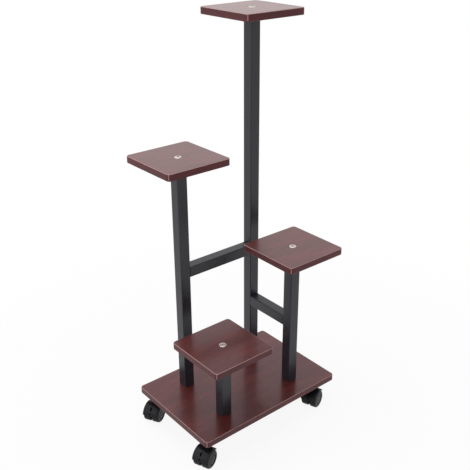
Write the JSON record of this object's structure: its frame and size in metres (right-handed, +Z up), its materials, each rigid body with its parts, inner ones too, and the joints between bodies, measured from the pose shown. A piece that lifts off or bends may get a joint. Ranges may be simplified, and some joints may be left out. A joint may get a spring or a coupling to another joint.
{
  "type": "plant stand",
  "caption": "Rolling plant stand: square wooden shelves at stepped heights on black square tube posts, tied by rails, on a wooden base board with twin-wheel swivel casters.",
  "frame": {"origin": "on the floor, under the middle of the base board", "axes": "+X along the base board's long side to the right, +Y to the back, +Z up along the posts"},
  "size_m": [0.4158, 0.291, 0.9076],
  "materials": {
    "faced_board": "satin mahogany wood-grain facing on fibreboard",
    "powder_coated_tube": "satin black powder coat on steel",
    "bright_bolt": "bright nickel plate",
    "zinc_plated_steel": "zinc plate",
    "caster_plate_steel": "black oxide on pressed steel",
    "plug_nylon": "moulded nylon with a threaded core",
    "hood_nylon": "satin moulded nylon",
    "wheel_nylon": "moulded nylon"
  },
  "bodies": {
    "stand": {"base_board": "faced_board", "top_shelf": "faced_board", "upper_shelf": "faced_board", "middle_shelf": "faced_board", "low_shelf": "faced_board", "tall_post": "powder_coated_tube", "upper_post": "powder_coated_tube", "middle_post": "powder_coated_tube", "low_post": "powder_coated_tube", "back_rail": "powder_coated_tube", "side_rail": "powder_coated_tube", "post_top_plugs": "plug_nylon", "post_foot_plugs": "plug_nylon", "shelf_bolts": "bright_bolt", "base_bolts": "bright_bolt", "front_left_caster_plate": "caster_plate_steel", "front_left_caster_stem": "caster_plate_steel", "back_left_caster_plate": "caster_plate_steel", "back_left_caster_stem": "caster_plate_steel", "front_right_caster_plate": "caster_plate_steel", "front_right_caster_stem": "caster_plate_steel", "back_right_caster_plate": "caster_plate_steel", "back_right_caster_stem": "caster_plate_steel"},
    "front_left_swivel": {"front_left_caster_hood": "hood_nylon", "front_left_caster_axle": "zinc_plated_steel"},
    "front_left_wheel_a": {"front_left_caster_wheel_a": "wheel_nylon"},
    "front_left_wheel_b": {"front_left_caster_wheel_b": "wheel_nylon"},
    "back_left_swivel": {"back_left_caster_hood": "hood_nylon", "back_left_caster_axle": "zinc_plated_steel"},
    "back_left_wheel_a": {"back_left_caster_wheel_a": "wheel_nylon"},
    "back_left_wheel_b": {"back_left_caster_wheel_b": "wheel_nylon"},
    "front_right_swivel": {"front_right_caster_hood": "hood_nylon", "front_right_caster_axle": "zinc_plated_steel"},
    "front_right_wheel_a": {"front_right_caster_wheel_a": "wheel_nylon"},
    "front_right_wheel_b": {"front_right_caster_wheel_b": "wheel_nylon"},
    "back_right_swivel": {"back_right_caster_hood": "hood_nylon", "back_right_caster_axle": "zinc_plated_steel"},
    "back_right_wheel_a": {"back_right_caster_wheel_a": "wheel_nylon"},
    "back_right_wheel_b": {"back_right_caster_wheel_b": "wheel_nylon"}
  },
  "joints": [
    {"name": "front_left_swivel_turn", "type": "hinge", "parent": "stand", "child": "front_left_swivel", "pos_m": [-0.161, -0.0985, 0.0598], "axis": [0, 0, 1], "continuous": true},
    {"name": "front_left_wheel_a_spin", "type": "hinge", "parent": "front_left_swivel", "child": "front_left_wheel_a", "pos_m": [-0.17921, -0.10549, 0.021], "axis": [0.3584, -0.9336, 0], "continuous": true},
    {"name": "front_left_wheel_b_spin", "type": "hinge", "parent": "front_left_swivel", "child": "front_left_wheel_b", "pos_m": [-0.17921, -0.10549, 0.021], "axis": [0.3584, -0.9336, 0], "continuous": true},
    {"name": "back_left_swivel_turn", "type": "hinge", "parent": "stand", "child": "back_left_swivel", "pos_m": [-0.161, 0.0985, 0.0598], "axis": [0, 0, 1], "continuous": true},
    {"name": "back_left_wheel_a_spin", "type": "hinge", "parent": "back_left_swivel", "child": "back_left_wheel_a", "pos_m": [-0.17822, 0.08934, 0.021], "axis": [0.4695, -0.8829, 0], "continuous": true},
    {"name": "back_left_wheel_b_spin", "type": "hinge", "parent": "back_left_swivel", "child": "back_left_wheel_b", "pos_m": [-0.17822, 0.08934, 0.021], "axis": [0.4695, -0.8829, 0], "continuous": true},
    {"name": "front_right_swivel_turn", "type": "hinge", "parent": "stand", "child": "front_right_swivel", "pos_m": [0.161, -0.0985, 0.0598], "axis": [0, 0, 1], "continuous": true},
    {"name": "front_right_wheel_a_spin", "type": "hinge", "parent": "front_right_swivel", "child": "front_right_wheel_a", "pos_m": [0.14256, -0.10485, 0.021], "axis": [0.3256, -0.9455, 0], "continuous": true},
    {"name": "front_right_wheel_b_spin", "type": "hinge", "parent": "front_right_swivel", "child": "front_right_wheel_b", "pos_m": [0.14256, -0.10485, 0.021], "axis": [0.3256, -0.9455, 0], "continuous": true},
    {"name": "back_right_swivel_turn", "type": "hinge", "parent": "stand", "child": "back_right_swivel", "pos_m": [0.161, 0.0985, 0.0598], "axis": [0, 0, 1], "continuous": true},
    {"name": "back_right_wheel_a_spin", "type": "hinge", "parent": "back_right_swivel", "child": "back_right_wheel_a", "pos_m": [0.17932, 0.10517, 0.021], "axis": [-0.342, 0.9397, 0], "continuous": true},
    {"name": "back_right_wheel_b_spin", "type": "hinge", "parent": "back_right_swivel", "child": "back_right_wheel_b", "pos_m": [0.17932, 0.10517, 0.021], "axis": [-0.342, 0.9397, 0], "continuous": true}
  ]
}
